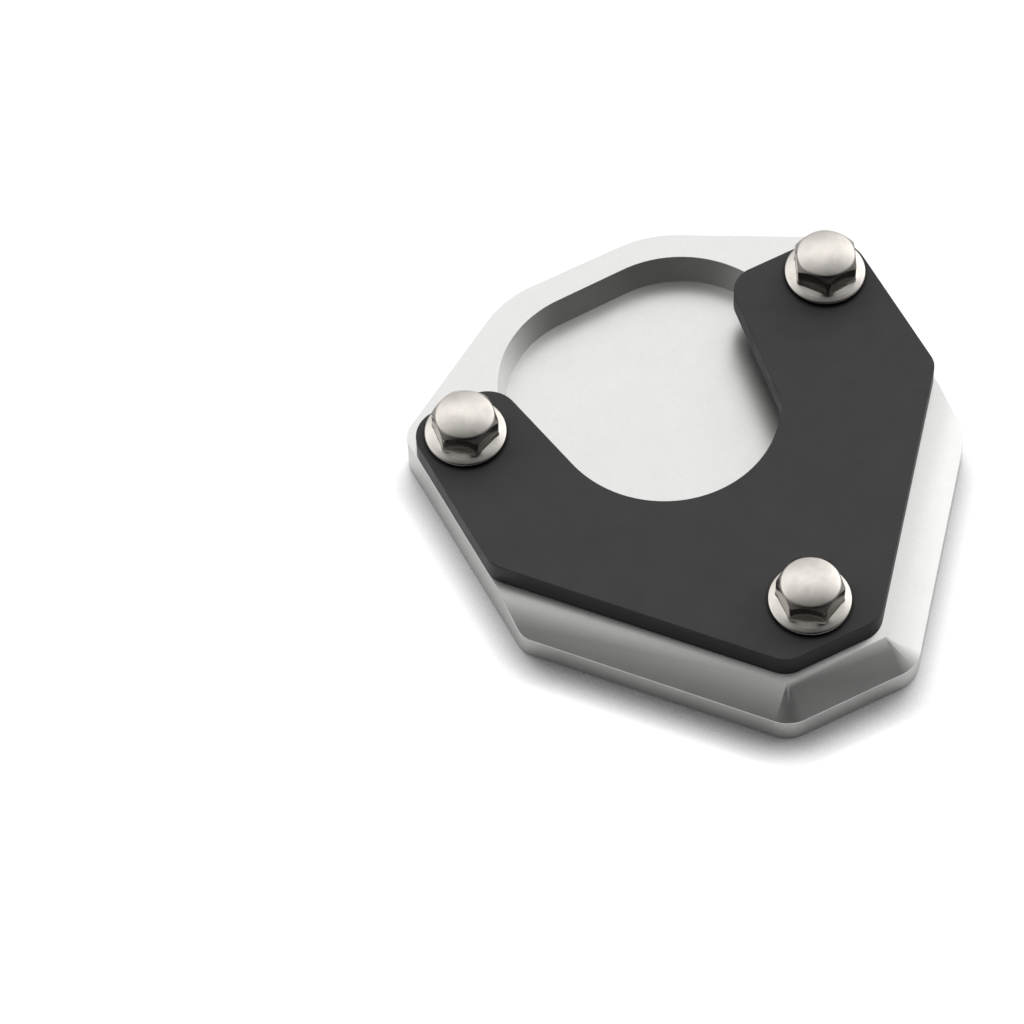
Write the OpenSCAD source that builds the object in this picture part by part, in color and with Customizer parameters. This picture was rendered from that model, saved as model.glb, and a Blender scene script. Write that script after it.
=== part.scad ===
// Clamp-on foot for a motorcycle side stand: a pocketed base, a clamp plate and three flange bolts.
// Side distances and bolt places are measured from the centre of the round opening in the plate.
// Side directions are the angles of the outward normals, counter-clockwise from +X.

/* [Base] */
// Thickness of the base
base_t = 8; // [7:0.25:11]
// Height of the upright wall below the chamfer
wall_h = 4.8; // [3.5:0.1:5.5]
// Width of the chamfer, seen from above
chamfer_run = 5.8; // [4:0.1:6.5]
// Radius of the top face's two corners between chamfers
rim_corner_r = 0.5; // [0.3:0.1:1.5]
// Distance of the front side
front_dist = 47; // [46:0.5:54]
// Distance of the front right side
front_right_dist = 61; // [60:0.5:66]
// Direction of the front right side
front_right_dir = 319.5; // [317:0.5:322]
// Distance of the right side
right_dist = 50; // [49:0.5:56]
// Direction of the right side
right_dir = 9.5; // [7:0.5:12]
// Distance of the back right side
back_right_dist = 44.3; // [44:0.1:47]
// Direction of the back right side
back_right_dir = 49; // [47:0.5:51]
// Distance of the back side
back_dist = 38.2; // [38:0.1:42]
// Direction of the back side
back_dir = 110; // [108:0.5:112]
// Distance of the upper left side
upper_left_dist = 34.9; // [34.5:0.1:38]
// Direction of the upper left side, which the ends of the plate's arms follow
upper_left_dir = 140; // [138:0.5:142]
// Distance of the left side
left_dist = 36.2; // [36:0.1:39]
// Direction of the left side
left_dir = 171; // [169:0.5:173]
// Distance of the front left side
front_left_dist = 40.3; // [40:0.1:43]
// Direction of the front left side
front_left_dir = 229.5; // [228:0.5:231]
// Corner radius between the front left and front sides
front_left_r = 4; // [2:0.5:6]
// Corner radius between the right and back right sides
right_r = 8; // [4:0.5:10]
// Corner radius between the back right and back sides
rear_r = 10; // [6:0.5:12]
// Corner radius at both ends of the upper left side
upper_left_r = 20; // [14:0.5:24]
// Corner radius between the left and front left sides
left_r = 4; // [3:0.5:6]

/* [Foot pocket] */
// Depth of the pocket
pocket_depth = 5.5; // [4:0.25:5.75]
// Radius of the pocket's rounded corners at the top
pocket_r = 20; // [17:0.25:20.5]
// How far the pocket's wall leans in from top to floor
pocket_draft = 1.2; // [0.4:0.1:2]
// Centre of the pocket's left corner, X
pocket_left_x = -10.2; // [-10.5:0.1:-6]
// Centre of the pocket's left corner, Y
pocket_left_y = 3.5; // [2:0.1:5]
// Centre of the pocket's rear corner, X
pocket_rear_x = -2.1; // [-3:0.1:0]
// Centre of the pocket's rear corner, Y
pocket_rear_y = 13.6; // [10:0.1:13.8]
// Centre of the pocket's front corner, X
pocket_front_x = 3.5; // [1:0.1:6]
// Centre of the pocket's front corner, Y
pocket_front_y = -4.5; // [-6:0.1:-2]

/* [Clamp plate] */
// Thickness of the clamp plate
plate_t = 4.5; // [3:0.25:6]
// Gap from the top edge of the chamfer to the plate
plate_inset = 1.1; // [0.6:0.1:3]
// Distance of the line on which both arms end
arm_end_dist = 17.25; // [16.5:0.25:19]
// Radius of the round opening
opening_r = 19.5; // [17:0.25:19.75]
// Distance of the rear arm's inner side
rear_arm_dist = 18.7; // [17.8:0.1:19]
// Direction in which the rear arm's inner side faces away from the opening
rear_arm_dir = 40.7; // [38:0.5:43]
// Direction in which the left arm's inner side faces away from the opening
left_arm_dir = 239.8; // [237:0.5:242]
// Radius of the bend between the rear arm and the round opening
rear_arm_bend_r = 8; // [4:0.5:10]
// Corner radius at the front left of the plate
plate_front_left_r = 4; // [2:0.5:6]
// Corner radius at the two front corners of the plate
plate_front_r = 5; // [3:0.5:7]
// Corner radius at the right of the plate
plate_right_r = 4; // [2:0.5:6]
// Corner radius round the rear bolt
plate_rear_r = 7; // [5:0.5:8]
// Corner radius at the inner end of the rear arm
rear_arm_tip_r = 5; // [3:0.5:6]
// Corner radius at both ends of the left arm
left_arm_tip_r = 5.5; // [4:0.5:6]

/* [Bolts] */
// Thread diameter of the bolts
bolt_d = 6; // [5:0.5:6]
// Width across the flats of the hexagon
bolt_af = 10; // [9:0.25:11]
// Diameter of the flange
flange_d = 13.8; // [12.5:0.1:14.2]
// Thickness of the flange at its rim
flange_rim_t = 0.8; // [0.6:0.1:1.2]
// Height of the cone on top of the flange
flange_cone_h = 0.8; // [0.4:0.1:1.6]
// Diameter of that cone at its top
flange_cone_d = 10.8; // [10.2:0.1:11.4]
// Height of the whole head
head_h = 6.9; // [6.2:0.1:8]
// Radius of the domed top
dome_r = 13; // [11:0.5:18]
// From a flat of the hexagon to the round edge of the dome
crown_inset = 0.15; // [0.1:0.05:0.4]
// Slope of the chamfer that cuts the corners of the hexagon round the dome
crown_slope = 50; // [38:1:55]
// Width of the chamfer on the end of the thread
bolt_end_break = 0.6; // [0.3:0.1:0.8]
// Left bolt, from the front left side
left_bolt_side = 8.13; // [7.5:0.01:9.5]
// Left bolt, from the line on which the arms end
left_bolt_end = 6.71; // [6.5:0.01:7.5]
// Rear bolt, from the back right side
rear_bolt_side = 7.61; // [7.2:0.01:8.2]
// Rear bolt, from the line on which the arms end
rear_bolt_end = 7.2; // [6.8:0.01:8]
// Front bolt, from the front side
front_bolt_side = 19.1; // [17:0.1:21]
// Front bolt, from the front right side
front_bolt_end = 15.35; // [14.5:0.01:17]
// Turn of the left bolt's hexagon
left_bolt_turn = 12; // [0:1:59]
// Turn of the rear bolt's hexagon
rear_bolt_turn = 55; // [0:1:59]
// Turn of the front bolt's hexagon
front_bolt_turn = 15; // [0:1:59]

/* [Fits] */
// Gap between the end of a bolt and the ground
bolt_end_gap = 0.5; // [0.3:0.1:3]
// Gap between a bolt and the tapped hole, on the radius
thread_gap = 0.05; // [0.02:0.01:0.2]
// Gap between a bolt and the plate's hole, on the radius
hole_gap = 0.3; // [0.1:0.05:0.6]

/* [Hidden] */
$fn = 96;
alloy = [0.80, 0.80, 0.79];
dark = [0.10, 0.10, 0.10];
nickel = [0.75, 0.72, 0.68];
front_dir = 270;
cut = 1;
// Rounded corners are larger by this, so that they cross the flat sides and don't just touch them
lap = 0.005;
floor_z = base_t - pocket_depth;
top_z = base_t + plate_t;
bolt_len = top_z - bolt_end_gap;
crown_r = bolt_af / 2 - crown_inset;
crown_z = head_h - dome_r + sqrt(dome_r * dome_r - crown_r * crown_r);
base_sides = [
    [front_left_dir, front_left_dist],
    [front_dir, front_dist],
    [front_right_dir, front_right_dist],
    [right_dir, right_dist],
    [back_right_dir, back_right_dist],
    [back_dir, back_dist],
    [upper_left_dir, upper_left_dist],
    [left_dir, left_dist]
];
chamfered_r = chamfer_run + rim_corner_r;
base_radii = [front_left_r, chamfered_r, chamfered_r, right_r, rear_r, upper_left_r, upper_left_r, left_r];
plate_back = chamfer_run + plate_inset;
plate_sides = [
    [front_left_dir, front_left_dist],
    [front_dir, front_dist - plate_back],
    [front_right_dir, front_right_dist - plate_back],
    [right_dir, right_dist - plate_back],
    [back_right_dir, back_right_dist],
    [upper_left_dir, arm_end_dist],
    [rear_arm_dir + 180, -rear_arm_dist],
    [right_dir + 180, -opening_r],
    [left_arm_dir - 180, -opening_r],
    [upper_left_dir, arm_end_dist]
];
plate_radii = [
    plate_front_left_r, plate_front_r, plate_front_r, plate_right_r, plate_rear_r,
    rear_arm_tip_r, -rear_arm_bend_r, -opening_r, left_arm_tip_r, left_arm_tip_r
];
pocket_centres = [
    [pocket_left_x, pocket_left_y],
    [pocket_front_x, pocket_front_y],
    [pocket_rear_x, pocket_rear_y]
];

// How far a hollow corner's cutter turns past the sides that it rounds
hollow_spare = 3;

function unit(a) = [cos(a), sin(a)];
// Where two sides meet, each given as [direction of its normal, distance]
function meet(s, t) = [
    (s[1] * sin(t[0]) - t[1] * sin(s[0])) / sin(t[0] - s[0]),
    (t[1] * cos(s[0]) - s[1] * cos(t[0])) / sin(t[0] - s[0])
];
function inward(s, r) = [s[0], s[1] - r];
function after(list, i) = list[(i + 1) % len(list)];
// Centre of corner i; a negative radius is a hollow corner
function centre(sides, radii, i) = meet(inward(sides[i], radii[i]), inward(after(sides, i), radii[i]));
function touch(sides, radii, i) = [
    centre(sides, radii, i) + radii[i] * unit(sides[i][0]),
    centre(sides, radii, i) + radii[i] * unit(after(sides, i)[0])
];

// The chamfered sides, as places in base_sides
front = 1;
front_right = 2;
right = 3;

// Each bolt sits inward from two sides
arm_end_side = [upper_left_dir, arm_end_dist];
left_bolt = meet(inward(base_sides[0], left_bolt_side), inward(arm_end_side, left_bolt_end));
rear_bolt = meet(inward(base_sides[4], rear_bolt_side), inward(arm_end_side, rear_bolt_end));
front_bolt = meet(inward(base_sides[front], front_bolt_side), inward(base_sides[front_right], front_bolt_end));
bolt_places = [left_bolt, rear_bolt, front_bolt];

// The base's discs give its box, and the box gives the origin
base_centres = [for (i = [0 : len(base_sides) - 1]) centre(base_sides, base_radii, i)];
x_low = min([for (i = [0 : len(base_sides) - 1]) base_centres[i][0] - base_radii[i]]);
x_high = max([for (i = [0 : len(base_sides) - 1]) base_centres[i][0] + base_radii[i]]);
y_low = min([for (i = [0 : len(base_sides) - 1]) base_centres[i][1] - base_radii[i]]);
y_high = max([for (i = [0 : len(base_sides) - 1]) base_centres[i][1] + base_radii[i]]);
opening_centre = [-(x_low + x_high) / 2, -(y_low + y_high) / 2, 0];

module outline(sides, radii, h) {
    difference() {
        union() {
            linear_extrude(height = h)
                polygon([for (i = [0 : len(sides) - 1]) each touch(sides, radii, i)]);
            for (i = [0 : len(sides) - 1])
                if (radii[i] > 0)
                    translate(centre(sides, radii, i))
                        cylinder(r = radii[i] + lap, h = h);
        }
        for (i = [0 : len(sides) - 1])
            if (radii[i] < 0)
                hollow_corner(sides, radii, i, h);
    }
}

module hollow_corner(sides, radii, i, h) {
    c = centre(sides, radii, i);
    far = norm(meet(sides[i], after(sides, i)) - c) + cut;
    first = sides[i][0] + 180 + hollow_spare;
    last = after(sides, i)[0] + 180 - hollow_spare;
    intersection() {
        translate([c[0], c[1], -cut])
            cylinder(r = lap - radii[i], h = h + 2 * cut);
        translate([0, 0, -cut])
            linear_extrude(height = h + 2 * cut)
                polygon([
                    c,
                    c + far * unit(last),
                    c + far * unit((first + last) / 2) / cos((first - last) / 2),
                    c + far * unit(first)
                ]);
    }
}

// A bar along a side whose section is given as [outward, up] points
module side_bar(dir, start, len, section) {
    translate(start)
        rotate([0, 0, dir])
            rotate([90, 0, 0])
                translate([0, 0, -len])
                    linear_extrude(height = len)
                        polygon(section);
}

// A flat chamfer on three sides, and part of a cone where two of them meet
module chamfered_block() {
    slope = (base_t - wall_h) / chamfer_run;
    over = rim_corner_r / 2;
    low = wall_h - slope * cut;
    high = base_t + slope * over;
    section = [[-chamfer_run - over, high], [cut, low], [cut, high]];
    run_out = 2 * chamfer_run;
    difference() {
        outline(base_sides, base_radii, base_t);
        for (i = [front, front_right, right]) {
            way = run_out * unit(base_sides[i][0] + 90);
            a = touch(base_sides, base_radii, i - 1)[1] - way;
            b = touch(base_sides, base_radii, i)[0] + way;
            side_bar(base_sides[i][0], a, norm(b - a), section);
        }
        for (i = [front, front_right])
            chamfer_corner(i, low, high, over);
    }
}

module chamfer_corner(i, low, high, top_r) {
    c = centre(base_sides, base_radii, i);
    r = base_radii[i] + cut;
    next = after(base_sides, i);
    far = meet(inward(base_sides[i], -cut), inward(next, -cut));
    difference() {
        translate([0, 0, low])
            linear_extrude(height = high - low)
                polygon([c, c + r * unit(base_sides[i][0]), far, c + r * unit(next[0])]);
        translate([c[0], c[1], low])
            cylinder(r1 = r + lap, r2 = top_r + lap, h = high - low);
    }
}

module pocket() {
    lean = pocket_draft / pocket_depth;
    high = pocket_depth + cut;
    section = [[-cut, 0], [pocket_r - pocket_draft, 0], [pocket_r + lean * cut, high], [-cut, high]];
    translate([0, 0, floor_z]) {
        linear_extrude(height = high)
            polygon(pocket_centres);
        for (i = [0 : len(pocket_centres) - 1]) {
            a = pocket_centres[i];
            b = after(pocket_centres, i);
            translate(a)
                cylinder(r1 = pocket_r - pocket_draft + lap, r2 = pocket_r + lean * cut + lap, h = high);
            side_bar(atan2(b[1] - a[1], b[0] - a[0]) - 90, a, norm(b - a), section);
        }
    }
}

module holes(r, z, h) {
    for (p = bolt_places)
        translate([p[0], p[1], z])
            cylinder(r = r, h = h);
}

module base() {
    color(alloy)
        difference() {
            chamfered_block();
            pocket();
            holes(bolt_d / 2 + thread_gap, -cut, base_t + 2 * cut);
        }
}

module clamp_plate() {
    color(dark)
        translate([0, 0, base_t])
            difference() {
                outline(plate_sides, plate_radii, plate_t);
                holes(bolt_d / 2 + hole_gap, -cut, plate_t + 2 * cut);
            }
}

module bolt(place, turn) {
    color(nickel)
        translate([place[0], place[1], top_z]) {
            intersection() {
                rotate([0, 0, turn])
                    cylinder(d = bolt_af / cos(30), h = head_h + cut, $fn = 6);
                translate([0, 0, head_h - dome_r])
                    sphere(r = dome_r);
                cylinder(
                    r1 = crown_r + crown_z / tan(crown_slope),
                    r2 = crown_r - (head_h + cut - crown_z) / tan(crown_slope),
                    h = head_h + cut
                );
            }
            cylinder(d = flange_d, h = flange_rim_t);
            translate([0, 0, flange_rim_t])
                cylinder(d1 = flange_d, d2 = flange_cone_d, h = flange_cone_h);
            translate([0, 0, bolt_end_break - bolt_len])
                cylinder(d = bolt_d, h = bolt_len - bolt_end_break + flange_rim_t);
            translate([0, 0, -bolt_len])
                cylinder(d1 = bolt_d - 2 * bolt_end_break, d2 = bolt_d, h = bolt_end_break);
        }
}

translate(opening_centre) {
    base();
    clamp_plate();
    bolt(left_bolt, left_bolt_turn);  // bolt_left
    bolt(rear_bolt, rear_bolt_turn);  // bolt_rear
    bolt(front_bolt, front_bolt_turn);  // bolt_front
}
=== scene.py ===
"""Looks for a clamp-on side stand foot.

A blasted alloy base, a black anodised clamp plate and three nickel plated flange bolts,
on the part's own CAD frame, with a pale studio round them.
"""

import math

import bmesh
import bpy
from bpy.props import FloatProperty, FloatVectorProperty, IntProperty, PointerProperty
from mathutils import Matrix, Vector


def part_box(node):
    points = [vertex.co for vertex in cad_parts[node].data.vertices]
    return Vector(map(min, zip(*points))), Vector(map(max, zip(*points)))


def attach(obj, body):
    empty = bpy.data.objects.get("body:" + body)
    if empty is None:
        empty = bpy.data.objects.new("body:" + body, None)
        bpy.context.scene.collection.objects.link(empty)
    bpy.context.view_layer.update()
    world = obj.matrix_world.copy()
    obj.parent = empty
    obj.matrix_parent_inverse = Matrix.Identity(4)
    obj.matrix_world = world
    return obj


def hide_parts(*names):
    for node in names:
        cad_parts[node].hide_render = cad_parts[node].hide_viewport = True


bl_info = {
    "name": "Side Stand Foot",
    "version": (1, 0, 0),
    "blender": (4, 5, 0),
    "location": "View3D > Sidebar > Stand Foot",
    "description": "Makes the base, the clamp plate and the flange bolts of a side stand foot, and its studio",
    "category": "Object",
}

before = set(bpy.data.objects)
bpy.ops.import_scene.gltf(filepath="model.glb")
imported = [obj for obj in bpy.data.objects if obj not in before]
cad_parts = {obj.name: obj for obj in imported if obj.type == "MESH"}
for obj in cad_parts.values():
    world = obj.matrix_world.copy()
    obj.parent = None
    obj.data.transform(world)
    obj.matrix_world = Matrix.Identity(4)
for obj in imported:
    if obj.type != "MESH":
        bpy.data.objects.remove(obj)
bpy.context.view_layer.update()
BODY = "root"
BOLT_NODES = ("bolt_left", "bolt_rear", "bolt_front")
# Only edges that bend by more than this are broken
BASE_EDGE_ANGLE, PLATE_EDGE_ANGLE = math.radians(35), math.radians(20)


# Sizes and colours that a user would change


class StandFootBase(bpy.types.PropertyGroup):
    """The blasted alloy base"""

    edge_break: FloatProperty(
        name="Edge break",
        description="Width of the small round on the base's outer edges",
        default=0.0001,
        min=0.0,
        max=0.001,
        precision=5,
        unit="LENGTH",
    )
    colour: FloatVectorProperty(
        name="Colour",
        description="Colour of the blasted and clear anodised alloy",
        default=(0.80, 0.798, 0.785),
        min=0.0,
        max=1.0,
        subtype="COLOR",
    )
    roughness: FloatProperty(
        name="Roughness",
        description="How dull the blasted surface is",
        default=0.34,
        min=0.05,
        max=1.0,
        subtype="FACTOR",
    )
    # Painted shade, not a sawn finish: how bright the base's outer upright sides are made next to its top
    painted_side_shade: FloatProperty(
        name="Side tone",
        description="Brightness of the sawn outer sides next to the blasted top",
        default=0.66,
        min=0.0,
        max=1.0,
        subtype="FACTOR",
    )
    grain: FloatProperty(
        name="Grain",
        description="Size of the blasted grain",
        default=0.00022,
        min=0.00005,
        max=0.002,
        precision=5,
        unit="LENGTH",
    )


class StandFootPlate(bpy.types.PropertyGroup):
    """The black anodised clamp plate"""

    edge_break: FloatProperty(
        name="Edge break",
        description="Width of the small round on the plate's edges",
        default=0.0003,
        min=0.0,
        max=0.001,
        precision=5,
        unit="LENGTH",
    )
    colour: FloatVectorProperty(
        name="Colour",
        description="Colour of the black anodising",
        default=(0.066, 0.063, 0.063),
        min=0.0,
        max=1.0,
        subtype="COLOR",
    )
    roughness: FloatProperty(
        name="Roughness",
        description="How dull the anodising is",
        default=0.55,
        min=0.05,
        max=1.0,
        subtype="FACTOR",
    )
    # Painted shade, not a milled finish: how bright the plate's sides are made next to its top
    painted_side_shade: FloatProperty(
        name="Side tone",
        description="Brightness of the plate's milled sides next to its top",
        default=0.35,
        min=0.0,
        max=1.0,
        subtype="FACTOR",
    )


class StandFootBolts(bpy.types.PropertyGroup):
    """The three flange bolts"""

    across_flats: FloatProperty(
        name="Across flats",
        description="Width of the hexagon across its flats",
        default=0.010,
        min=0.006,
        max=0.014,
        precision=5,
        unit="LENGTH",
    )
    head_height: FloatProperty(
        name="Head height",
        description="Height of the whole head, with the flange",
        default=0.0069,
        min=0.005,
        max=0.01,
        precision=5,
        unit="LENGTH",
    )
    dome_radius: FloatProperty(
        name="Dome radius",
        description="Radius of the domed top",
        default=0.013,
        min=0.006,
        max=0.02,
        precision=5,
        unit="LENGTH",
    )
    colour: FloatVectorProperty(
        name="Colour",
        description="Colour of the nickel plating",
        default=(0.76, 0.72, 0.67),
        min=0.0,
        max=1.0,
        subtype="COLOR",
    )
    roughness: FloatProperty(
        name="Roughness",
        description="How dull the plating is",
        default=0.16,
        min=0.02,
        max=1.0,
        subtype="FACTOR",
    )
    # Painted shade, not a forged finish: how bright the hexagon's flats and chamfer are made next to the dome
    painted_side_shade: FloatProperty(
        name="Side tone",
        description="Brightness of the forged hexagon sides next to the dome",
        default=0.28,
        min=0.0,
        max=1.0,
        subtype="FACTOR",
    )
    rings: IntProperty(
        name="Thread rings",
        description="Number of grooves that stand for the thread",
        default=8,
        min=0,
        max=16,
    )
    turns: FloatVectorProperty(
        name="Turns",
        description="How far the left, rear and front hexagons are turned",
        default=(math.radians(12), math.radians(55), math.radians(15)),
        subtype="EULER",
    )


class StandFootStage(bpy.types.PropertyGroup):
    """Camera, floor and near shadow"""

    distance: FloatProperty(
        name="Camera distance",
        description="From the camera to the point on the floor that it looks at",
        default=0.8,
        min=0.2,
        max=3.0,
        unit="LENGTH",
    )
    elevation: FloatProperty(
        name="Camera elevation",
        description="Angle of the camera above the floor",
        default=math.radians(57.2),
        min=0.0,
        max=math.radians(89),
        subtype="ANGLE",
    )
    heading: FloatProperty(
        name="Camera heading",
        description="Direction in which the camera looks, seen from above",
        default=math.radians(114.377),
        min=0.0,
        max=math.radians(360),
        subtype="ANGLE",
    )
    roll: FloatProperty(
        name="Camera roll",
        description="Turn of the camera round its own axis",
        default=math.radians(2.75),
        min=math.radians(-20),
        max=math.radians(20),
        subtype="ANGLE",
    )
    lens: FloatProperty(
        name="Lens",
        description="Focal length on a 36 mm wide sensor",
        default=166.78,
        min=20.0,
        max=400.0,
    )
    aim: FloatVectorProperty(
        name="Aim",
        description="Point on the floor at the middle of the picture",
        default=(-0.02688, -0.02078, 0.0),
        subtype="TRANSLATION",
    )
    floor_colour: FloatVectorProperty(
        name="Floor colour",
        description="Colour of the floor for the light that falls on it",
        default=(0.18, 0.18, 0.18),
        min=0.0,
        max=1.0,
        subtype="COLOR",
    )
    glow: FloatProperty(
        name="Glow",
        description="White that the floor adds where nothing shades it",
        default=1.0,
        min=0.0,
        max=1.0,
        subtype="FACTOR",
    )
    shadow_from: FloatVectorProperty(
        name="Shadow from",
        description="Direction of the light that the floor's near shadow belongs to",
        default=(-0.31, 0.925, 0.22),
        subtype="DIRECTION",
    )
    shadow_reach: FloatProperty(
        name="Shadow reach",
        description="How far from the part the near shadow reaches",
        default=0.0068,
        min=0.0,
        max=0.1,
        precision=4,
        unit="LENGTH",
    )
    shadow_span: FloatVectorProperty(
        name="Shadow span",
        description="Open share of the light's side where the shadow is black and where it ends",
        size=2,
        default=(0.43, 0.86),
        min=0.0,
        max=1.0,
    )


# Shader building blocks


def new_material(name):
    """An empty material; gives it with its tree, its shader and the Object coordinates."""
    mat = bpy.data.materials.get(name) or bpy.data.materials.new(name)
    mat.use_nodes = True
    tree = mat.node_tree
    tree.nodes.clear()
    out = tree.nodes.new("ShaderNodeOutputMaterial")
    bsdf = tree.nodes.new("ShaderNodeBsdfPrincipled")
    tree.links.new(bsdf.outputs["BSDF"], out.inputs["Surface"])
    coords = tree.nodes.new("ShaderNodeTexCoord")
    return mat, tree, bsdf, coords.outputs["Object"]


def noise(tree, vector, size, detail=3.0, rough=0.5):
    """Noise whose features are about this many metres wide."""
    node = tree.nodes.new("ShaderNodeTexNoise")
    node.inputs["Scale"].default_value = 1.0 / size
    node.inputs["Detail"].default_value = detail
    node.inputs["Roughness"].default_value = rough
    tree.links.new(vector, node.inputs["Vector"])
    return node.outputs["Fac"]


def ramp(tree, fac, stops):
    """Colours at places along a 0 to 1 value."""
    node = tree.nodes.new("ShaderNodeValToRGB")
    band = node.color_ramp
    while len(band.elements) < len(stops):
        band.elements.new(0.5)
    for element, (place, colour) in zip(band.elements, stops):
        element.position = place
        element.color = (*colour, 1.0)
    tree.links.new(fac, node.inputs["Fac"])
    return node.outputs["Color"]


def remap(tree, fac, low, high, from_low=0.3, from_high=0.7):
    """A value's range moved to another, clamped; the default range is that of noise."""
    node = tree.nodes.new("ShaderNodeMapRange")
    node.inputs["From Min"].default_value = from_low
    node.inputs["From Max"].default_value = from_high
    node.inputs["To Min"].default_value = low
    node.inputs["To Max"].default_value = high
    tree.links.new(fac, node.inputs["Value"])
    return node.outputs["Result"]


def bump(tree, height, strength, distance):
    """A normal that follows a height pattern."""
    node = tree.nodes.new("ShaderNodeBump")
    node.inputs["Strength"].default_value = strength
    node.inputs["Distance"].default_value = distance
    tree.links.new(height, node.inputs["Height"])
    return node.outputs["Normal"]


def calc(tree, operation, *values):
    """A Math node on outputs and plain numbers."""
    node = tree.nodes.new("ShaderNodeMath")
    node.operation = operation
    for socket, value in zip(node.inputs, values):
        if isinstance(value, bpy.types.NodeSocket):
            tree.links.new(value, socket)
        else:
            socket.default_value = value
    return node.outputs[0]


def along(tree, vector, axis):
    """How far one direction goes along another, given as an output or as three numbers."""
    node = tree.nodes.new("ShaderNodeVectorMath")
    node.operation = "DOT_PRODUCT"
    tree.links.new(vector, node.inputs[0])
    if isinstance(axis, bpy.types.NodeSocket):
        tree.links.new(axis, node.inputs[1])
    else:
        node.inputs[1].default_value = axis
    return node.outputs["Value"]


def shaded(tree, colour, brightness):
    """A colour times a brightness that changes over the surface."""
    node = tree.nodes.new("ShaderNodeVectorMath")
    node.operation = "SCALE"
    tree.links.new(colour, node.inputs["Vector"])
    tree.links.new(brightness, node.inputs["Scale"])
    return node.outputs["Vector"]


def openness(tree, reach, samples, axis=None):
    """Share of the nearby space that is open, round the surface's normal or a given axis."""
    node = tree.nodes.new("ShaderNodeAmbientOcclusion")
    node.inputs["Distance"].default_value = reach
    node.samples = samples
    if axis is not None:
        toward = tree.nodes.new("ShaderNodeCombineXYZ")
        for socket, value in zip(toward.inputs, axis):
            socket.default_value = value
        tree.links.new(toward.outputs["Vector"], node.inputs["Normal"])
    return node.outputs["AO"]


def surface_normal(tree):
    """The piece's own normal, and how far it points up."""
    normal = tree.nodes.new("ShaderNodeTexCoord").outputs["Normal"]
    split = tree.nodes.new("ShaderNodeSeparateXYZ")
    tree.links.new(normal, split.inputs["Vector"])
    return normal, split.outputs["Z"]


def scaled(colour, factor):
    """A colour made lighter or darker, at most white."""
    return tuple(min(1.0, c * factor) for c in colour[:3])


def clouded(tree, clouds, colour, dark, bright, places):
    """A colour with darker and brighter clouds, at three places of the noise."""
    tones = (scaled(colour, dark), tuple(colour), scaled(colour, bright))
    return ramp(tree, clouds, list(zip(places, tones)))


# Finishes, with painted shade on the sides and round the flanges


def blasted_alloy(props):
    """Fine grain from bead blasting under clear anodising, with faint clouds of tone."""
    cloud_size, dull_size, dull_swing = 0.012, 0.004, 0.012
    speckle_size, speckle_dark, speckle_share = props.grain * 2.5, 0.955, 0.6
    grain_strength, grain_depth = 0.22, 0.00002
    outward_end = 0.01  # metres along the normal from the part's middle: past it, an outer side
    upright_full, upright_end = 0.1, 0.5  # upward share of the normal of a side and of a slope

    mat, tree, bsdf, place = new_material("Blasted alloy")
    clouds = noise(tree, place, cloud_size, detail=4.0, rough=0.55)
    speckle = noise(tree, place, speckle_size, detail=2.0)
    tone = clouded(tree, clouds, props.colour, 0.99, 1.005, (0.30, 0.55, 0.75))
    speckled = ramp(tree, speckle, [(0.35, (speckle_dark,) * 3), (0.65, (1.0, 1.0, 1.0))])
    mix = tree.nodes.new("ShaderNodeMix")
    mix.data_type = "RGBA"
    mix.blend_type = "MULTIPLY"
    mix.inputs["Factor"].default_value = speckle_share
    tree.links.new(tone, mix.inputs[6])
    tree.links.new(speckled, mix.inputs[7])

    # Painted shade: the base's outer upright sides are made darker than its top
    normal, up = surface_normal(tree)
    outer = remap(tree, along(tree, normal, place), 0.0, 1.0, 0.0, outward_end)
    upright = remap(tree, up, 1.0, 0.0, upright_full, upright_end)
    painted_wall_shade = calc(tree, "MULTIPLY", outer, upright)
    brightness = remap(tree, painted_wall_shade, 1.0, props.painted_side_shade, 0.0, 1.0)
    tree.links.new(shaded(tree, mix.outputs[2], brightness), bsdf.inputs["Base Color"])

    dull = noise(tree, place, dull_size, detail=3.0)
    rough = remap(tree, dull, props.roughness - dull_swing, props.roughness + dull_swing)
    tree.links.new(rough, bsdf.inputs["Roughness"])
    bsdf.inputs["Metallic"].default_value = 1.0
    grain = noise(tree, place, props.grain, detail=2.0, rough=0.6)
    tree.links.new(bump(tree, grain, grain_strength, grain_depth), bsdf.inputs["Normal"])
    return mat


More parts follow.
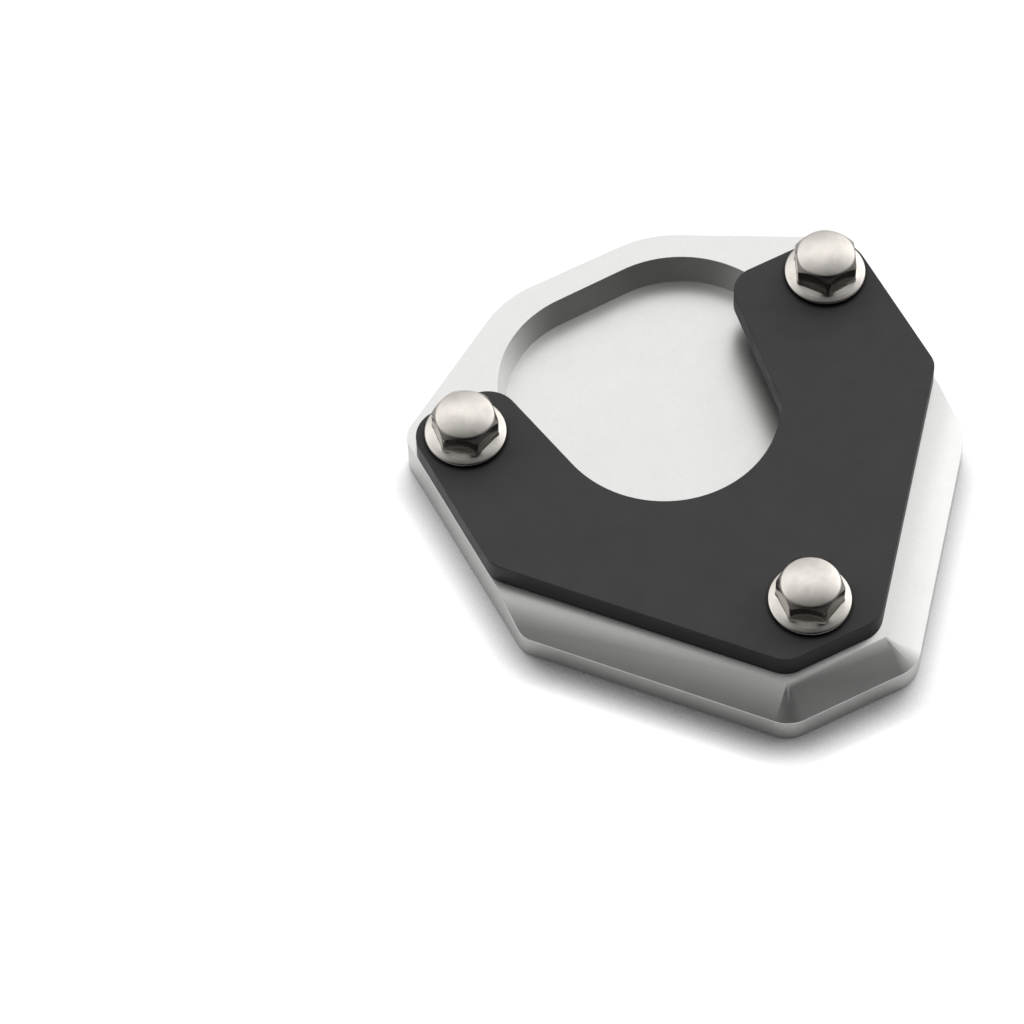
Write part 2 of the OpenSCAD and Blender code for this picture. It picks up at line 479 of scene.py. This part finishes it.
def black_anodised(props):
    """Dark dyed oxide over a fine matte grain, with a slight sheen."""
    cloud_size, dull_size, dull_down, dull_up = 0.009, 0.003, 0.04, 0.06
    grain_size, grain_strength, grain_depth = 0.00018, 0.25, 0.00002
    side_up, top_up = 0.2, 0.9  # upward share of the normal of a side and of the top
    # Reach, samples and open shares of the painted shadow in the nooks round the flanges
    nook_shadow_reach, nook_shadow_samples, nook_shadow_black, nook_shadow_end = 0.0009, 6, 0.45, 0.9

    mat, tree, bsdf, place = new_material("Black anodised")
    clouds = noise(tree, place, cloud_size, detail=4.0, rough=0.6)
    tone = clouded(tree, clouds, props.colour, 0.93, 1.06, (0.30, 0.55, 0.75))

    # Painted shade: the sides are darker than the top, and a painted shadow darkens the nooks round the
    # flanges
    side = remap(tree, surface_normal(tree)[1], props.painted_side_shade, 1.0, side_up, top_up)
    painted_nook_shadow = remap(tree, openness(tree, nook_shadow_reach, nook_shadow_samples), 0.0, 1.0, nook_shadow_black, nook_shadow_end)
    brightness = calc(tree, "MULTIPLY", side, painted_nook_shadow)
    tree.links.new(shaded(tree, tone, brightness), bsdf.inputs["Base Color"])

    dull = noise(tree, place, dull_size, detail=3.0)
    rough = remap(tree, dull, props.roughness - dull_down, props.roughness + dull_up)
    tree.links.new(rough, bsdf.inputs["Roughness"])
    bsdf.inputs["Metallic"].default_value = 0.0
    bsdf.inputs["Specular IOR Level"].default_value = 0.33
    grain = noise(tree, place, grain_size, detail=2.0, rough=0.6)
    tree.links.new(bump(tree, grain, grain_strength, grain_depth), bsdf.inputs["Normal"])
    return mat


def nickel_plate(props):
    """Bright plating with soft cloudy smears and faint pressing marks."""
    cloud_size, dull_size, dull_down, dull_up = 0.0035, 0.0016, 0.05, 0.10
    dent_size, dent_strength, dent_depth = 0.0011, 0.10, 0.00006
    side_up, top_up = 0.68, 0.88  # upward share of the normal of the chamfer and of the dome

    mat, tree, bsdf, place = new_material("Nickel plating")
    clouds = noise(tree, place, cloud_size, detail=4.0, rough=0.6)
    tone = clouded(tree, clouds, props.colour, 0.86, 1.05, (0.28, 0.5, 0.72))
    # Painted shade: the hexagon's flats and chamfer are made darker than the dome
    side = remap(tree, surface_normal(tree)[1], props.painted_side_shade, 1.0, side_up, top_up)
    tree.links.new(shaded(tree, tone, side), bsdf.inputs["Base Color"])

    dull = noise(tree, place, dull_size, detail=4.0)
    rough = remap(tree, dull, props.roughness - dull_down, props.roughness + dull_up)
    tree.links.new(rough, bsdf.inputs["Roughness"])
    bsdf.inputs["Metallic"].default_value = 1.0
    dents = noise(tree, place, dent_size, detail=2.0)
    tree.links.new(bump(tree, dents, dent_strength, dent_depth), bsdf.inputs["Normal"])
    return mat


# Meshes


def clean_copy(node, name):
    """A copy of a CAD node's mesh, merged, with flat faces joined again to let its edges round."""
    merge_distance, flat_angle = 2e-6, math.radians(0.6)
    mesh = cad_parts[node].data.copy()
    mesh.name = name
    obj = bpy.data.objects.new(name, mesh)
    bpy.context.scene.collection.objects.link(obj)
    bm = bmesh.new()
    bm.from_mesh(mesh)
    for layer in list(bm.loops.layers.uv):
        bm.loops.layers.uv.remove(layer)
    bmesh.ops.remove_doubles(bm, verts=bm.verts, dist=merge_distance)
    bmesh.ops.dissolve_limit(bm, angle_limit=flat_angle, verts=bm.verts, edges=bm.edges)
    for face in bm.faces:
        face.smooth = True
    bm.to_mesh(mesh)
    bm.free()
    mesh.materials.clear()
    return obj


def round_edges(obj, width, sharpest):
    """Rounds the outer edges that bend by more than the given angle, by way of bevel weights."""
    bm = bmesh.new()
    bm.from_mesh(obj.data)
    layers = bm.edges.layers.float
    weight = layers.get("bevel_weight_edge") or layers.new("bevel_weight_edge")
    for edge in bm.edges:
        if len(edge.link_faces) != 2:
            continue
        turn = edge.calc_face_angle_signed(0.0)
        edge[weight] = 1.0 if turn > sharpest else 0.0
        edge.smooth = abs(turn) < sharpest
    bm.to_mesh(obj.data)
    bm.free()
    bevel = obj.modifiers.new("Edge break", "BEVEL")
    bevel.width = width
    bevel.segments = 3
    bevel.limit_method = "WEIGHT"
    bevel.offset_type = "OFFSET"
    bevel.miter_outer = "MITER_SHARP"
    bevel.use_clamp_overlap = True
    bevel.harden_normals = True
    bake_modifiers(obj)


def bake_modifiers(obj):
    """Turns the object with its modifiers into a plain mesh."""
    graph = bpy.context.evaluated_depsgraph_get()
    graph.update()
    mesh = bpy.data.meshes.new_from_object(obj.evaluated_get(graph))
    old = obj.data
    obj.modifiers.clear()
    obj.data = mesh
    mesh.name = obj.name
    if old.users == 0:
        bpy.data.meshes.remove(old)


def hexagon_radius(angle, flats, corner):
    """Distance to a hexagon's edge at an angle, with a slightly rounded corner at angle 0."""
    kept = 0.25  # share of the sharp corner that is left outside the round
    turn = angle % (math.pi / 3) - math.pi / 6
    side = flats / 2 / math.cos(turn)
    limit = flats / 2 / math.cos(math.pi / 6) - corner
    return side if side < limit else limit + (side - limit) * kept


def bolt_mesh(props, shank_length):
    """One bolt standing on z = 0: shank below, flange, hexagon and dome above, as one skin."""
    around, sharp_angle = 144, math.radians(28)
    head, flats, dome = props.head_height, props.across_flats, props.dome_radius
    flange_r, rim, cone_top, cone_r = 0.0069, 0.00098, 0.0016, 0.0054
    cone_rows = (0.0065, 0.0062, 0.006)
    soft, under, corner = 0.00012, 0.00042, 0.00012
    shank_r, core_r, tip, run_out = 0.003, 0.0026, 0.0006, 0.0012
    neck_low, neck_high, neck_step = 0.0009, 0.0004, 0.0002
    crown_r, crown_slope, crown_soft = flats / 2 - 0.00015, math.radians(50), 0.00004
    crown_z = head - dome + math.sqrt(dome * dome - crown_r * crown_r)
    fillet, fillet_mid, foot = 0.0001, 0.00003, 0.0001
    crown_edge = crown_r - 0.0004

    def top_z(radius):
        """The dome, and past its round edge the chamfer that cuts the hexagon's corners."""
        domed = head - dome + math.sqrt(dome * dome - radius * radius)
        cut = crown_z - (radius - crown_r) * math.tan(crown_slope)
        return (domed + cut) / 2 - math.hypot((domed - cut) / 2, crown_soft)

    def cone_z(radius):
        """The cone on top of the flange."""
        return min(cone_top, rim + (cone_top - rim) * (flange_r - radius) / (flange_r - cone_r))

    # Shank with its grooves, undercut rim and cone, as radius and height from the tip upwards
    lathe = [(core_r - tip * 0.4, -shank_length), (core_r, -shank_length + tip * 0.6)]
    pitch = (shank_length - tip - run_out) / max(props.rings, 1)
    for ring in range(props.rings):
        low = -shank_length + tip + ring * pitch
        for radius, share in ((core_r, 0.1), (shank_r, 0.45), (shank_r, 0.6)):
            lathe.append((radius, low + pitch * share))
    lathe += [(core_r + neck_step, -neck_low), (shank_r, -neck_high), (shank_r, 0.0)]
    for inward, height in ((1.0, 0.0), (0.72, 0.3), (0.4, 0.8), (0.14, 1.4)):
        lathe += [(flange_r - under * inward, under * height)]
    lathe += [(flange_r, rim - soft), (flange_r - soft * 0.35, rim - soft * 0.2)]
    lathe += [(r, cone_z(r)) for r in (flange_r - soft, *cone_rows)]
    rows = [[place] * around for place in lathe]

    # Hexagon: fillet at its foot, flats, chamfer, and the change to the round dome
    angles = [2 * math.pi * k / around for k in range(around)]
    sides = [hexagon_radius(a, flats, corner) for a in angles]
    rows.append([(s + fillet, cone_z(s + fillet)) for s in sides])
    rows.append([(s + fillet_mid, cone_z(s) + fillet_mid) for s in sides])
    for step in (0.0, 0.3, 0.6, 0.85, 1.0):
        rows.append(
            [(s, cone_z(s) + foot + (top_z(s) - cone_z(s) - foot) * step) for s in sides]
        )
    for step in (0.15, 0.35, 0.55, 0.7, 0.8, 0.9, 1.0):
        radii = [s + (crown_edge - s) * step for s in sides]
        rows.append([(r, top_z(r)) for r in radii])
    for part in (0.97, 0.9, 0.8, 0.68, 0.55, 0.4, 0.25, 0.12):
        rows.append([(crown_edge * part, top_z(crown_edge * part))] * around)

    bm = bmesh.new()
    loops = []
    for row in rows:
        points = [(r * math.cos(a), r * math.sin(a), z) for (r, z), a in zip(row, angles)]
        loops.append([bm.verts.new(point) for point in points])
    for low, high in zip(loops, loops[1:]):
        for k in range(around):
            n = (k + 1) % around
            bm.faces.new((low[k], low[n], high[n], high[k]))
    tip_point = bm.verts.new((0.0, 0.0, -shank_length))
    crown = bm.verts.new((0.0, 0.0, top_z(0.0)))
    for k in range(around):
        n = (k + 1) % around
        bm.faces.new((loops[0][n], loops[0][k], tip_point))
        bm.faces.new((loops[-1][k], loops[-1][n], crown))
    for face in bm.faces:
        face.smooth = True
    bmesh.ops.recalc_face_normals(bm, faces=bm.faces)
    mesh = bpy.data.meshes.new("bolt_pattern")
    bm.to_mesh(mesh)
    bm.free()
    mesh.set_sharp_from_angle(angle=sharp_angle)
    return mesh


def bolt_tree(pattern, material):
    """Geometry Nodes: the bolt set on each point of the input mesh, turned by the point's angle."""
    tree = bpy.data.node_groups.new("Bolts on points", "GeometryNodeTree")
    sockets = tree.interface
    sockets.new_socket("Geometry", in_out="INPUT", socket_type="NodeSocketGeometry")
    size = sockets.new_socket("Size", in_out="INPUT", socket_type="NodeSocketFloat")
    size.default_value = 1.0
    sockets.new_socket("Geometry", in_out="OUTPUT", socket_type="NodeSocketGeometry")
    nodes, links = tree.nodes, tree.links
    start = nodes.new("NodeGroupInput")
    end = nodes.new("NodeGroupOutput")
    source = nodes.new("GeometryNodeObjectInfo")
    source.inputs["Object"].default_value = pattern
    source.transform_space = "ORIGINAL"
    angle = nodes.new("GeometryNodeInputNamedAttribute")
    angle.data_type = "FLOAT"
    angle.inputs["Name"].default_value = "turn"
    spin = nodes.new("ShaderNodeCombineXYZ")
    place = nodes.new("GeometryNodeInstanceOnPoints")
    real = nodes.new("GeometryNodeRealizeInstances")
    finish = nodes.new("GeometryNodeSetMaterial")
    finish.inputs["Material"].default_value = material
    links.new(angle.outputs["Attribute"], spin.inputs["Z"])
    links.new(start.outputs["Geometry"], place.inputs["Points"])
    links.new(source.outputs["Geometry"], place.inputs["Instance"])
    links.new(spin.outputs["Vector"], place.inputs["Rotation"])
    links.new(start.outputs["Size"], place.inputs["Scale"])
    links.new(place.outputs["Instances"], real.inputs["Geometry"])
    links.new(real.outputs["Geometry"], finish.inputs["Geometry"])
    links.new(finish.outputs["Geometry"], end.inputs["Geometry"])
    return tree, size.identifier


def settle(obj, slot_name, *nodes):
    """The piece rides on the part's body and stands for its CAD nodes."""
    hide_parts(*nodes)
    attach(obj, BODY)


# Operators


class STANDFOOT_OT_base(bpy.types.Operator):
    """Make the blasted alloy base with its foot pocket"""

    bl_idname = "standfoot.base"
    bl_label = "Alloy base"

    def execute(self, context):
        props = context.scene.stand_foot_base
        obj = clean_copy("base", "alloy_base")
        round_edges(obj, props.edge_break, BASE_EDGE_ANGLE)
        obj.data.materials.clear()
        obj.data.materials.append(blasted_alloy(props))
        if not obj.data.polygons:
            raise RuntimeError("the base has no faces")
        settle(obj, "alloy", "base")
        return {"FINISHED"}


class STANDFOOT_OT_plate(bpy.types.Operator):
    """Make the black anodised clamp plate"""

    bl_idname = "standfoot.plate"
    bl_label = "Clamp plate"

    def execute(self, context):
        props = context.scene.stand_foot_plate
        obj = clean_copy("clamp_plate", "anodised_clamp_plate")
        round_edges(obj, props.edge_break, PLATE_EDGE_ANGLE)
        obj.data.materials.clear()
        obj.data.materials.append(black_anodised(props))
        if not obj.data.polygons:
            raise RuntimeError("the clamp plate has no faces")
        settle(obj, "anodised", "clamp_plate")
        return {"FINISHED"}


class STANDFOOT_OT_bolts(bpy.types.Operator):
    """Set the three domed flange bolts in their holes"""

    bl_idname = "standfoot.bolts"
    bl_label = "Flange bolts"

    def execute(self, context):
        props = context.scene.stand_foot_bolts
        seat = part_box("clamp_plate")[1].z
        places = []
        for node in BOLT_NODES:
            low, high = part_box(node)
            places.append(((low.x + high.x) / 2, (low.y + high.y) / 2, seat))
        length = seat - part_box(BOLT_NODES[0])[0].z
        pattern = bpy.data.objects.new("bolt_pattern", bolt_mesh(props, length))
        points = bpy.data.meshes.new("flange_bolts")
        points.from_pydata(places, [], [])
        turns = points.attributes.new("turn", "FLOAT", "POINT")
        turns.data.foreach_set("value", list(props.turns))
        obj = bpy.data.objects.new("flange_bolts", points)
        context.scene.collection.objects.link(obj)
        metal = nickel_plate(props)
        tree, size_input = bolt_tree(pattern, metal)
        modifier = obj.modifiers.new("Bolts", "NODES")
        modifier.node_group = tree
        modifier[size_input] = 1.0
        bake_modifiers(obj)
        one_bolt = len(pattern.data.polygons)
        bpy.data.objects.remove(pattern)
        if len(obj.data.polygons) < len(BOLT_NODES) * one_bolt:
            raise RuntimeError("the bolts were not made")
        if not obj.data.materials:
            obj.data.materials.append(metal)
        settle(obj, "bolt_metal", *BOLT_NODES)
        return {"FINISHED"}


class STANDFOOT_OT_stage(bpy.types.Operator):
    """Lay the floor, light the studio and set the camera"""

    bl_idname = "standfoot.stage"
    bl_label = "Studio"

    def execute(self, context):
        props = context.scene.stand_foot_stage
        scene = context.scene
        scene.view_settings.view_transform = "Standard"
        make_floor(scene, props)
        make_world(scene)
        make_camera(scene, props)
        if scene.camera is None:
            raise RuntimeError("there is no camera")
        return {"FINISHED"}


# Stage


def make_floor(scene, props):
    """A wide white floor with a soft shadow near the part, on the side away from the light."""
    radius, segments, drop = 6.0, 96, 0.00002
    patch_size, patch_dark, shadow_samples = 0.3, 0.995, 8
    mesh = bpy.data.meshes.new("floor")
    bm = bmesh.new()
    bmesh.ops.create_circle(bm, cap_ends=True, radius=radius, segments=segments)
    bm.to_mesh(mesh)
    bm.free()
    floor = bpy.data.objects.new("floor", mesh)
    floor.location.z = -drop
    scene.collection.objects.link(floor)

    mat, tree, bsdf, place = new_material("Pale floor")
    stops = [(0.3, scaled(props.floor_colour, patch_dark)), (0.7, tuple(props.floor_colour))]
    tone = ramp(tree, noise(tree, place, patch_size, detail=2.0), stops)
    tree.links.new(tone, bsdf.inputs["Base Color"])
    bsdf.inputs["Roughness"].default_value = 0.9
    bsdf.inputs["Specular IOR Level"].default_value = 0.0

    # White as seen straight, mirrored or through something clear, less in the near shadow
    path = tree.nodes.new("ShaderNodeLightPath").outputs
    seen = calc(tree, "MAXIMUM", path["Is Camera Ray"], path["Is Glossy Ray"])
    seen = calc(tree, "MAXIMUM", seen, path["Is Transmission Ray"])
    axis = Vector(props.shadow_from).normalized()
    open_side = openness(tree, props.shadow_reach, shadow_samples, axis)
    lit = remap(tree, open_side, 0.0, 1.0, *props.shadow_span)
    white = calc(tree, "MULTIPLY", seen, lit)
    bsdf.inputs["Emission Color"].default_value = (1.0, 1.0, 1.0, 1.0)
    tree.links.new(calc(tree, "MULTIPLY", white, props.glow), bsdf.inputs["Emission Strength"])
    mesh.materials.append(mat)


# The studio's soft lights: direction from the part, how narrow each is, brightness at its middle
SOFT_LIGHTS = [
    ((-0.22, 0.49, 0.84), 7.0, 0.9),
    ((0.54, 0.62, 0.57), 7.0, 0.36),
    ((-0.75, 0.40, 0.53), 7.0, 0.57),
    ((0.0, 0.95, 0.30), 7.0, 0.15),
    ((-0.90, -0.20, 0.40), 7.0, 1.0),
    ((0.45, 0.85, 0.28), 7.0, 1.3),
]
# The faint ring of light above the horizon: height of its middle, how narrow it is, brightness
RING_HEIGHT, RING_NARROW, RING_LIGHT = 0.25, 25.0, 0.22


def make_world(scene):
    """A dark studio with broad soft lights, as smooth lobes over the directions, and a ring."""
    world = bpy.data.worlds.new("Studio")
    scene.world = world
    world.use_nodes = True
    tree = world.node_tree
    tree.nodes.clear()
    out = tree.nodes.new("ShaderNodeOutputWorld")
    sky = tree.nodes.new("ShaderNodeBackground")
    sky.inputs["Color"].default_value = (1.0, 1.0, 1.0, 1.0)
    way = tree.nodes.new("ShaderNodeTexCoord").outputs["Generated"]
    height = tree.nodes.new("ShaderNodeSeparateXYZ")
    tree.links.new(way, height.inputs["Vector"])
    off = calc(tree, "SUBTRACT", height.outputs["Z"], RING_HEIGHT)
    fade = calc(tree, "MULTIPLY", calc(tree, "MULTIPLY", off, off), -RING_NARROW)
    total = calc(tree, "MULTIPLY", calc(tree, "EXPONENT", fade), RING_LIGHT)
    for axis, narrow, brightness in SOFT_LIGHTS:
        nearness = along(tree, way, Vector(axis).normalized())
        lobe = calc(tree, "EXPONENT", calc(tree, "MULTIPLY_ADD", nearness, narrow, -narrow))
        total = calc(tree, "MULTIPLY_ADD", lobe, brightness, total)
    tree.links.new(total, sky.inputs["Strength"])
    tree.links.new(sky.outputs["Background"], out.inputs["Surface"])


def make_camera(scene, props):
    """The camera that took the picture, from its distance, angles, lens and aim."""
    sensor_width, clip_start, clip_end = 36.0, 0.05, 20.0
    heading, tilt, roll = props.heading, props.elevation, props.roll
    level = math.cos(tilt)
    ahead = Vector((level * math.cos(heading), level * math.sin(heading), -math.sin(tilt)))
    right = Vector((math.sin(heading), -math.cos(heading), 0.0))
    up = right.cross(ahead)
    turned_right = math.cos(roll) * right - math.sin(roll) * up
    turned_up = math.sin(roll) * right + math.cos(roll) * up
    data = bpy.data.cameras.new("photo_camera")
    data.sensor_width = sensor_width
    data.lens = props.lens
    data.clip_start, data.clip_end = clip_start, clip_end
    camera = bpy.data.objects.new("photo_camera", data)
    turn = Matrix((turned_right, turned_up, -ahead)).transposed().to_4x4()
    camera.matrix_world = Matrix.Translation(Vector(props.aim) - ahead * props.distance) @ turn
    scene.collection.objects.link(camera)
    scene.camera = camera


class STANDFOOT_PT_panel(bpy.types.Panel):
    """The pieces of the side stand foot, one button each"""

    bl_idname = "STANDFOOT_PT_panel"
    bl_label = "Side Stand Foot"
    bl_space_type = "VIEW_3D"
    bl_region_type = "UI"
    bl_category = "Stand Foot"

    def draw(self, context):
        layout = self.layout
        for group, operator in PANEL_ROWS:
            box = layout.box()
            props = getattr(context.scene, group)
            for name in props.bl_rna.properties.keys():
                if name not in ("rna_type", "name"):
                    box.prop(props, name)
            box.operator(operator)


PANEL_ROWS = (
    ("stand_foot_base", "standfoot.base"),
    ("stand_foot_plate", "standfoot.plate"),
    ("stand_foot_bolts", "standfoot.bolts"),
    ("stand_foot_stage", "standfoot.stage"),
)
GROUPS = (
    ("stand_foot_base", StandFootBase),
    ("stand_foot_plate", StandFootPlate),
    ("stand_foot_bolts", StandFootBolts),
    ("stand_foot_stage", StandFootStage),
)
CLASSES = (
    STANDFOOT_OT_base,
    STANDFOOT_OT_plate,
    STANDFOOT_OT_bolts,
    STANDFOOT_OT_stage,
    STANDFOOT_PT_panel,
)


def register():
    for name, group in GROUPS:
        bpy.utils.register_class(group)
        setattr(bpy.types.Scene, name, PointerProperty(type=group))
    for cls in CLASSES:
        bpy.utils.register_class(cls)


def unregister():
    for cls in reversed(CLASSES):
        bpy.utils.unregister_class(cls)
    for name, group in reversed(GROUPS):
        delattr(bpy.types.Scene, name)
        bpy.utils.unregister_class(group)


def main():
    register()
    bpy.ops.standfoot.base()
    bpy.ops.standfoot.plate()
    bpy.ops.standfoot.bolts()
    bpy.ops.standfoot.stage()


if __name__ == "__main__":
    main()
